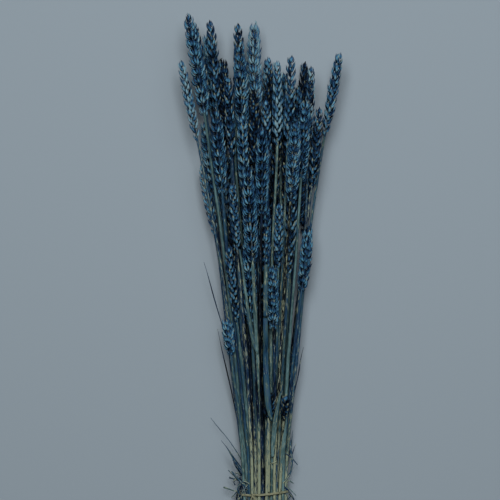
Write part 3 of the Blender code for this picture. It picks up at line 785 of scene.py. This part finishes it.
def make_piece(name, patches, materials):
    """One object of several patches. A patch has points, fibre and look as (copies, points, 3), the
    faces of one copy, and which material it takes. No point lies below the surface, at height 0."""
    points, fibre, look = (
        np.concatenate([patch[part].reshape(-1, 3) for patch in patches]) for part in range(3)
    )
    points[:, 2] = np.maximum(points[:, 2], 0)
    fours, threes, four_kinds, three_kinds, start = [], [], [], [], 0
    for copies_points, _, _, (wall, ends), kind in patches:
        copies, size = copies_points.shape[:2]
        offset = start + np.arange(copies)[:, None, None] * size
        fours.append((wall + offset).reshape(-1, 4))
        threes.append((ends + offset).reshape(-1, 3))
        four_kinds.append(np.full(len(fours[-1]), kind))
        three_kinds.append(np.full(len(threes[-1]), kind))
        start += copies * size
    fours, threes = np.concatenate(fours), np.concatenate(threes)
    kinds = np.concatenate(four_kinds + three_kinds)
    mesh = bpy.data.meshes.new(name)
    mesh.vertices.add(len(points))
    mesh.vertices.foreach_set("co", points.ravel())
    mesh.loops.add(fours.size + threes.size)
    mesh.loops.foreach_set("vertex_index", np.concatenate([fours.ravel(), threes.ravel()]))
    mesh.polygons.add(len(fours) + len(threes))
    starts = np.concatenate([np.arange(len(fours)) * 4, fours.size + np.arange(len(threes)) * 3])
    mesh.polygons.foreach_set("loop_start", starts)
    mesh.polygons.foreach_set("material_index", kinds)
    mesh.polygons.foreach_set("use_smooth", np.ones(len(kinds), bool))
    for label, values in (("fibre", fibre), ("look", look)):
        mesh.attributes.new(label, "FLOAT_VECTOR", "POINT").data.foreach_set("vector", values.ravel())
    mesh.update(calc_edges=True)
    mesh.validate()
    for material in materials:
        mesh.materials.append(material)
    piece = bpy.data.objects.new(name, mesh)
    bpy.context.collection.objects.link(piece)
    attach(piece, "root")
    return piece


def take_no_dye(paleness, points, low_end, high_end):
    """Make the highest straw or ear at each point wholly pale, of those that pass that height."""
    for across, height in np.array(points) * MM:
        middles = np.stack([path_at(height, at[:, n]) for n in range(STALKS)])
        there = (np.abs(middles[:, 0] - across) < PALE_REACH) & (low_end < height) & (high_end > height)
        paleness[int(np.argmax(np.where(there, middles[:, 2], -1)))] = 1.0


def joint_patch(first, second):
    """The knuckle between two straws: a ball midway between them, with rings of radius * sin(pi t)."""
    middle = 0.5 * (path_at(TWIN_HEIGHT, at[:, first]) + path_at(TWIN_HEIGHT, at[:, second]))
    t = np.linspace(0.05, 0.95, JOINT_RINGS)
    middles = middle + np.array([0.0, 1.0, 0.0]) * (2 * t[:, None] - 1) * TWIN_JOINT_RADIUS
    sideways, down = (np.tile(way, (JOINT_RINGS, 1)) for way in ([1.0, 0.0, 0.0], [0.0, 0.0, -1.0]))
    reach = np.repeat((TWIN_JOINT_RADIUS * np.sin(math.pi * t))[:, None], JOINT_SIDES, axis=1)
    ball = tube(middles, sideways, down, reach, reach)
    return ball[None], ball[None], np.zeros_like(ball)[None], tube_faces(JOINT_RINGS, JOINT_SIDES), STRAW


rng = np.random.default_rng(SEED)
pale = rng.uniform(0, 1, STALKS) ** 4
pale_ears = 0.6 * pale
take_no_dye(pale, PALE_STRAWS, cuts, tips - lengths)
take_no_dye(pale_ears, PALE_EARS, tips - lengths, tips)
patches = []
for n in range(STALKS):
    straw, ear = straw_patch(n, pale[n], rng), ear_patch(n, pale_ears[n], rng)
    patches.append([straw, ear, ear_stem_patch(n, pale[n], rng)])
for leaf in LEAVES:
    side, root_height, length = math.radians(leaf[0]), leaf[1] * MM, leaf[2] * MM
    out = np.array([math.cos(side), 0.0, math.sin(side)])
    centres = np.stack([path_at(root_height, at[:, n]) for n in range(STALKS)])
    host = int(np.argmax(centres @ out))
    along = unit(path_at(root_height + length, at[:, host]) - centres[host])
    patches[host].append(leaf_patch(leaf, centres[host], along, out, rng))
second_of = dict(twins)
for n in range(STALKS):
    if n in second_of.values():
        continue
    node, own = f"wheat_stalk_{n + 1:02d}", patches[n]
    if n in second_of:
        node = f"wheat_twin_stalk_{n + 1:02d}"
        own = own + patches[second_of[n]] + [joint_patch(n, second_of[n])]
    piece = make_piece("dyed_" + node, own, WHEAT_MATERIALS)
    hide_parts(node)

# Loose leaves: dry blades and torn sheaths that lie on top of the bunch, and shreds of leaf that the tie
# has caught and that stick out on both sides of it.
# Each blade on top has its tone, its paleness and the points it passes: across, along and width, in
# millimetres. It lies on whatever stalk is highest under it.
TOP_BLADES = (
    (0.85, 0.1, (
        (-26.9, 256, 1.9), (-24.3, 241, 2.3), (-20.9, 215, 2.7), (-18.3, 194, 3.3),
        (-15.7, 177, 4.1), (-11.4, 155, 5.0), (-7.8, 146, 3.1), (-6.2, 143, 1.0),
    )),
    (0.70, 0.8, ((1.0, 239, 2.6), (1.0, 233, 4.1), (0.5, 210, 5.0), (0.5, 183, 5.0))),
    (0.62, 0.0, (
        (0.3, 185, 5.2), (0.8, 133, 6.4), (2.0, 106, 7.0), (3.6, 88, 6.6), (6.7, 76, 3.2), (8.0, 73, 1.0),
    )),
    (0.80, 0.1, ((16.5, 106, 1.6), (13.4, 92, 3.6), (9.8, 70, 5.7), (8.3, 50, 4.7), (7.8, 36, 3.1))),
    (0.95, 1.0, ((5.2, 30, 1.0), (9.0, 31.5, 1.5), (12.4, 33.6, 1.3))),
    # The last blade, a pale strip along the straw under it, is partly a pale straw and partly a painted
    # highlight on that straw.
    (0.95, 1.0, ((4.1, 65, 1.2), (4.1, 30, 2.0), (4.1, -1, 1.9))),
)
# Each shred has its tone and the points it passes: across, along, up and width, in millimetres
SHREDS = (
    (0.5, ((-17, 3, 25, 2.2), (-26, 12, 26, 2.2), (-35.2, 22.7, 26, 1.2))),
    (0.5, ((-18, 6, 22, 1.1), (-29, 14, 23, 1.1), (-38.8, 23.3, 21, 0.9))),
    (0.3, ((-20, 10, 19, 1.6), (-30, 13, 19, 1.5), (-37.7, 15.0, 17, 2.2))),
    (0.5, ((-21, -1, 16, 1.2), (-33, 1, 15, 1.1), (-43.9, 4.7, 14, 2.0))),
    (0.4, ((-20, 3, 13, 1.3), (-28, 1, 12, 1.2), (-35.2, -7.2, 10, 1.1))),
    (0.2, ((-20, 12, 18, 1.8), (-27, 19, 20, 1.6), (-31, 20.2, 20, 1.2))),
    (0.2, ((-20, 5, 20, 2.0), (-27, 15, 22, 1.8), (-33, 12, 22, 1.4), (-31, 7, 22, 1.0))),
    (0.1, ((-19, 14, 22, 2.6), (-26, 7, 24, 2.4), (-28, -3, 21, 2.2), (-24, -10, 17, 1.4))),
    (0.3, ((-17, 8, 25, 2.0), (-23, 2, 26, 2.2), (-25, -6, 22, 2.0), (-21, -13, 18, 1.4))),
    (0.1, ((-20, 22, 18, 2.2), (-26, 13, 20, 2.4), (-25, 4, 22, 2.2), (-19, -3, 23, 1.4))),
    (0.2, ((-21, 18, 20, 2.0), (-24, 10, 23, 2.4), (-21, 2, 26, 2.2), (-18, -8, 25, 1.8))),
    (0.4, ((-16, 9, 27, 1.4), (-22, 12, 27, 1.6), (-27, 9, 25, 1.4), (-29, 2, 23, 1.2),
           (-26, -3, 22, 1.0))),
    (0.1, ((-21, 2, 16, 2.0), (-29, -2, 17, 2.2), (-30, -9, 14, 1.8), (-25, -12, 12, 1.2))),
    (0.3, ((-18, -1, 23, 1.2), (-24, -4, 22, 1.6), (-29, -9, 18, 1.2))),
    (0.7, ((20, 13, 22, 1.4), (26, 12, 22, 1.3), (29.8, 8.9, 20, 1.0))),
    (0.3, ((21, 41, 24, 1.2), (28, 36, 25, 1.2), (34.2, 28.5, 23, 1.0))),
    (0.3, ((25.5, 58, 20, 1.2), (26.6, 48, 23, 2.0), (28.4, 34, 25, 2.1), (27.5, 22, 24, 2.1),
           (23.0, 13.5, 24, 1.8), (17.5, 9, 25, 1.3))),
    (0.1, ((17, 9, 24, 1.6), (23, 3, 24, 2.2), (28, -4, 20, 2.0), (30.7, -9, 16, 1.4))),
    (0.8, ((20, 8, 20, 0.9), (27, 2, 20, 0.9), (32.9, -4.1, 19, 0.8))),
    (0.2, ((19, 5, 22, 1.8), (23, -3, 23, 2.0), (24, -10, 19, 1.4))),
    (0.7, ((17, 3, 24, 1.2), (24, 2, 23, 1.4), (27, -5, 19, 1.2), (22, -10, 17, 1.0))),
)
SHRED_PALENESS = 0.2
STRIP_RINGS = 26
STRIP_SIDES = 8
STRIP_THICKNESS = 0.5 * MM
STRIP_FOLD = -0.25  # its edges hang below its vein
STRIP_WAVE = 0.25 * MM
TOP_STEPS = 80  # places along a blade on top where the bunch under it counts
TOP_BRIDGED = 6  # steps either way over which it keeps the greatest height
TOP_LIFT = 0.3  # millimetres


def way_along(line):
    """Way gone at each point of a line since its first."""
    return np.append(0, np.cumsum(np.linalg.norm(np.diff(line, axis=0), axis=1)))


def top_of_bunch(x, y):
    """Height of the highest stalk at each point, each stalk taken as round with its reach sideways."""
    paths = np.stack([path_at(y, at[:, n]) for n in range(STALKS)])
    wide, thin = half_axes(y, tips, lengths)
    reach = np.hypot(wide * np.cos(turns), thin * np.sin(turns)).T
    off = paths[..., 0] - x
    up = paths[..., 2] + np.sqrt(np.maximum(reach**2 - off**2, 0))
    return np.where(np.abs(off) < reach, up, 0).max(axis=0)


def lie_on_top(line):
    """Points of a blade on top, each as high as the highest stalk under its middle and its sides."""
    fine = np.linspace(0, len(line) - 1, TOP_STEPS)
    x, y, width = (np.interp(fine, np.arange(len(line)), column) for column in np.array(line).T)
    sides = [top_of_bunch((x + s * width / 2) * MM, y * MM) for s in (-0.8, 0, 0.8)]
    padded = np.pad(np.max(sides, axis=0) / MM, TOP_BRIDGED, mode="edge")
    up = np.max([padded[i : i + TOP_STEPS] for i in range(2 * TOP_BRIDGED + 1)], axis=0)
    return np.stack([x, y, up + TOP_LIFT, width], axis=1)


def strip_patch(points, tone, paleness, rng):
    """A thin blade through points of across, along, up and width: rings evenly spaced on straight runs
    between them, softened by a running mean, with a slow sine wave up and down."""
    points = np.array(points) * MM
    way = way_along(points[:, :3])
    even = np.linspace(0, way[-1], STRIP_RINGS)
    nearby = even[:, None] + np.linspace(-1, 1, 7) * way[-1] / STRIP_RINGS * 2.0
    x, y, up, width = (np.interp(nearby, way, column).mean(axis=1) for column in points.T)
    wave = STRIP_WAVE * np.sin(even / (7 * MM) + rng.uniform(0, 6))
    middles = np.stack([x, y, up + wave], axis=-1)
    along = unit(np.gradient(middles, axis=0))
    across = unit(np.cross(along, np.array([0.0, 0.0, 1.0])))
    form = (STRIP_SIDES, STRIP_THICKNESS, STRIP_FOLD)
    return blade(middles, across, np.cross(across, along), 0.5 * width, even, form, tone, paleness, rng)


strips = [strip_patch(lie_on_top(line), tone, paleness, rng) for tone, paleness, line in TOP_BLADES]
strips += [strip_patch(line, tone, SHRED_PALENESS, rng) for tone, line in SHREDS]
loose = make_piece("loose_leaves", strips, WHEAT_MATERIALS)

# The tie: two turns of three-strand straw twine, drawn tight round the straws and knotted on top at
# the left, with two short ends. It has slipped down a little on top.
TIE_STEPS = 220
TIE_SAG = 2.0 * MM
TIE_SLANT = 1.4 * MM  # how far up it lies at the right, and as far down at the left
TWINE_SIDES = 12
TWINE_TWIST = 5.2 * MM  # length in which a strand goes once round the others
TURN_RADIUS = TWINE * 0.38
TURN_LOWEST = TWINE * 0.42  # height of its middle where it rests on the surface
KNOT_RADIUS = TWINE * 0.44
KNOT_DIRECTION = 128  # degrees from +X towards +Z
KNOT_OUT = 1.2 * MM  # how far its middle stands out from the turns
KNOT_REACH = (1.0125 * MM, 0.9 * MM, 0.75 * MM)  # along the turns, along the straws and out from them
END_RADIUS = TWINE * 0.42
KNOT_ENDS = ((-34, 13 * MM), (24, 9 * MM))  # degrees from the way to the cut ends, and length
END_CUT = 0.8  # share of an end's curve that is left
END_LIFT = 1.4 * MM
END_BEND = 0.8 * MM
TWINE_COLOURS = ((0.3, (0.11, 0.12, 0.075)), (0.5, (0.23, 0.24, 0.15)), (0.7, (0.36, 0.37, 0.25)))
GROOVE_SHADE_COLOUR = (0.05, 0.055, 0.045)


def twine_patch(middles, radius, rng):
    """Twine along a path: three strands as lobes of a ring that winds about the path as it goes on.

    Reach = radius * (0.82 + 0.24 * |cos(1.5 * (turn - 2 pi * way / TWINE_TWIST))|)."""
    along = unit(np.gradient(middles, axis=0))
    one_way = unit(np.cross(along, np.array([0.3, 0.9, 0.2])))
    other_way = np.cross(along, one_way)
    way = way_along(middles)
    turn = round_turns(TWINE_SIDES)
    lobes = np.abs(np.cos(1.5 * (turn - 2 * math.pi * way[:, None] / TWINE_TWIST)))
    reach = radius * (0.82 + 0.24 * lobes)
    points = tube(middles, one_way, other_way, reach, reach)
    x = np.append(reach * np.cos(turn - 0.6), [0, 0])
    fibre = columns(x, 0, per_point(way, TWINE_SIDES)) + rng.uniform(0, 1, 3)
    look = columns(0, np.append(lobes, [0, 0]), 1)
    return points[None], fibre[None], look[None], tube_faces(len(middles), TWINE_SIDES), 0


def twine_material():
    """Straw twine: dull straw yellow, with painted shade in the grooves between its strands.

    The second number of the look is 1 on the back of a strand and 0 in a groove."""
    material, tree, (_, lobe, _), (streaks, _) = start_material("straw_twine", 2600)
    # Painted shade: the grooves between the strands turn near black.
    dark = remap(tree, lobe, 0.0, 0.5, 1.0, 0.0)
    colour = mix(tree, dark, ramp(tree, streaks, TWINE_COLOURS), GROOVE_SHADE_COLOUR)
    set_shader(tree, colour, streaks, 0.8, 0.5, 0.6, 0.2 * MM)
    return material


def tie_path():
    """Middle of the twine: two turns along the lines that touch the outermost straws, and the height
    along the straws goes from one side of the tie to the other as the twine goes round."""
    centres = np.stack([path_at(0.0, at[:, n]) for n in range(STALKS)])
    turn = math.radians(KNOT_DIRECTION) + np.linspace(0, 4 * math.pi, TIE_STEPS)
    normals = np.stack([np.cos(turn), np.sin(turn)], axis=1)
    fine = np.linspace(0, 2 * math.pi, 121)[:-1]
    ways = np.stack([np.cos(fine), np.sin(fine)], axis=1)
    touch = (centres[:, [0, 2]] @ ways.T).max(axis=0) + straw_radius(0.0) + GAP
    middle = np.array([0.0, TIE_CENTRE_UP])
    facing = np.clip(normals @ ways.T, 1e-3, None)
    hull = np.where(normals @ ways.T > 0.05, (touch - ways @ middle) / facing, np.inf).min(axis=1)
    ring = middle + normals * (hull + TWINE / 2)[:, None]
    over = np.linspace(-1, 1, TIE_STEPS) * TWINE * 0.5
    over = over + TIE_SLANT * normals[:, 0] - TIE_SAG * np.maximum(normals[:, 1], 0)
    return np.stack([ring[:, 0], over, np.maximum(ring[:, 1], TURN_LOWEST)], axis=1)


def knot_path(knot, side, upwards, out):
    """Middle of the twine in the knot, a trefoil drawn tight and flattened against the straws.

    At turn a it is side * (sin a + 1.3 sin 2a) + upwards * (cos a - 1.3 cos 2a) - out * sin 3a."""
    a = np.linspace(0, 2 * math.pi, 90)[:, None]
    reach_side, reach_up, reach_out = KNOT_REACH
    path = knot + side * reach_side * (np.sin(a) + 1.3 * np.sin(2 * a))
    path = path + upwards * reach_up * (np.cos(a) - 1.3 * np.cos(2 * a))
    return path - out * reach_out * np.sin(3 * a)


middles = tie_path()
angle = math.radians(KNOT_DIRECTION)
out = np.array([math.cos(angle), 0.0, math.sin(angle)])
side = np.array([-math.sin(angle), 0.0, math.cos(angle)])
upwards = np.array([0.0, 1.0, 0.0])
knot = 0.5 * (middles[0] + middles[-1]) + out * KNOT_OUT
tie_patches = [twine_patch(middles, TURN_RADIUS, rng)]
tie_patches.append(twine_patch(knot_path(knot, side, upwards, out), KNOT_RADIUS, rng))
for turned, length in KNOT_ENDS:
    heading = math.sin(math.radians(turned)) * side - math.cos(math.radians(turned)) * upwards
    t = np.linspace(0, 1, 30)[:, None]
    path = knot + heading * length * t + out * END_LIFT * t
    path = path + np.cross(heading, out) * END_BEND * np.sin(t * 4)
    tie_patches.append(twine_patch(path[t[:, 0] < END_CUT], END_RADIUS, rng))
tie = make_piece("twine_tie", tie_patches, [twine_material()])
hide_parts("tie")

# The surface that the bunch lies on, a plain matt sheet, the camera straight above it, and soft
# studio light.
SURFACE_GREY = (0.30, 0.365, 0.42)
SURFACE_REACH = 6
SURFACE_DROP = 0.2 * MM  # below the lowest points of the bunch
PHOTO_WIDTH = 520 * MM  # what the photograph's 500 pixels span at the bunch
FOCUS_HEIGHT = 30 * MM  # about the middle of the bunch, where that width is measured
VIEW_CENTRE = (-15.6 * MM, 252.7 * MM)
CAMERA_HEIGHT = 2.6
LIT_POINT = (0, 0.25, 0)
SKY_COLOUR = (0.75, 0.80, 0.86)
SKY_STRENGTH = 0.035
floor_mesh = bpy.data.meshes.new("surface")
corners = [(x * SURFACE_REACH, y * SURFACE_REACH) for x, y in ((-1, -1), (1, -1), (1, 1), (-1, 1))]
floor_mesh.from_pydata([(*corner, -SURFACE_DROP) for corner in corners], [], [(0, 1, 2, 3)])
floor = bpy.data.objects.new("surface", floor_mesh)
bpy.context.collection.objects.link(floor)
paper = bpy.data.materials.new("matt_paper")
paper.use_nodes = True
paper.node_tree.nodes["Principled BSDF"].inputs["Base Color"].default_value = (*SURFACE_GREY, 1)
paper.node_tree.nodes["Principled BSDF"].inputs["Roughness"].default_value = 0.95
floor_mesh.materials.append(paper)

camera = bpy.data.objects.new("camera", bpy.data.cameras.new("camera"))
camera.location = (*VIEW_CENTRE, CAMERA_HEIGHT)
camera.data.lens = camera.data.sensor_width * (CAMERA_HEIGHT - FOCUS_HEIGHT) / PHOTO_WIDTH
bpy.context.collection.objects.link(camera)
bpy.context.scene.camera = camera


def add_light(name, place, size, power, colour):
    """A soft square light at a place, tilted and turned so that it shines at LIT_POINT."""
    light = bpy.data.lights.new(name, "AREA")
    light.size, light.energy, light.color = size, power, colour
    lamp = bpy.data.objects.new(name, light)
    lamp.location = place
    heading = np.array(LIT_POINT) - np.array(place)
    lamp.rotation_euler[0] = math.acos(-heading[2] / np.linalg.norm(heading))
    lamp.rotation_euler[2] = math.atan2(heading[1], heading[0]) - math.pi / 2
    bpy.context.collection.objects.link(lamp)


add_light("key_light", (-0.10, 1.0, 2.4), size=1.2, power=48, colour=(1.0, 0.99, 0.97))
add_light("fill_light", (0.8, 1.2, 2.3), size=1.6, power=9, colour=(0.92, 0.96, 1.0))
world = bpy.data.worlds.new("studio")
world.use_nodes = True
world.node_tree.nodes["Background"].inputs["Color"].default_value = (*SKY_COLOUR, 1)
world.node_tree.nodes["Background"].inputs["Strength"].default_value = SKY_STRENGTH
bpy.context.scene.world = world
bpy.context.scene.view_settings.view_transform = "Standard"
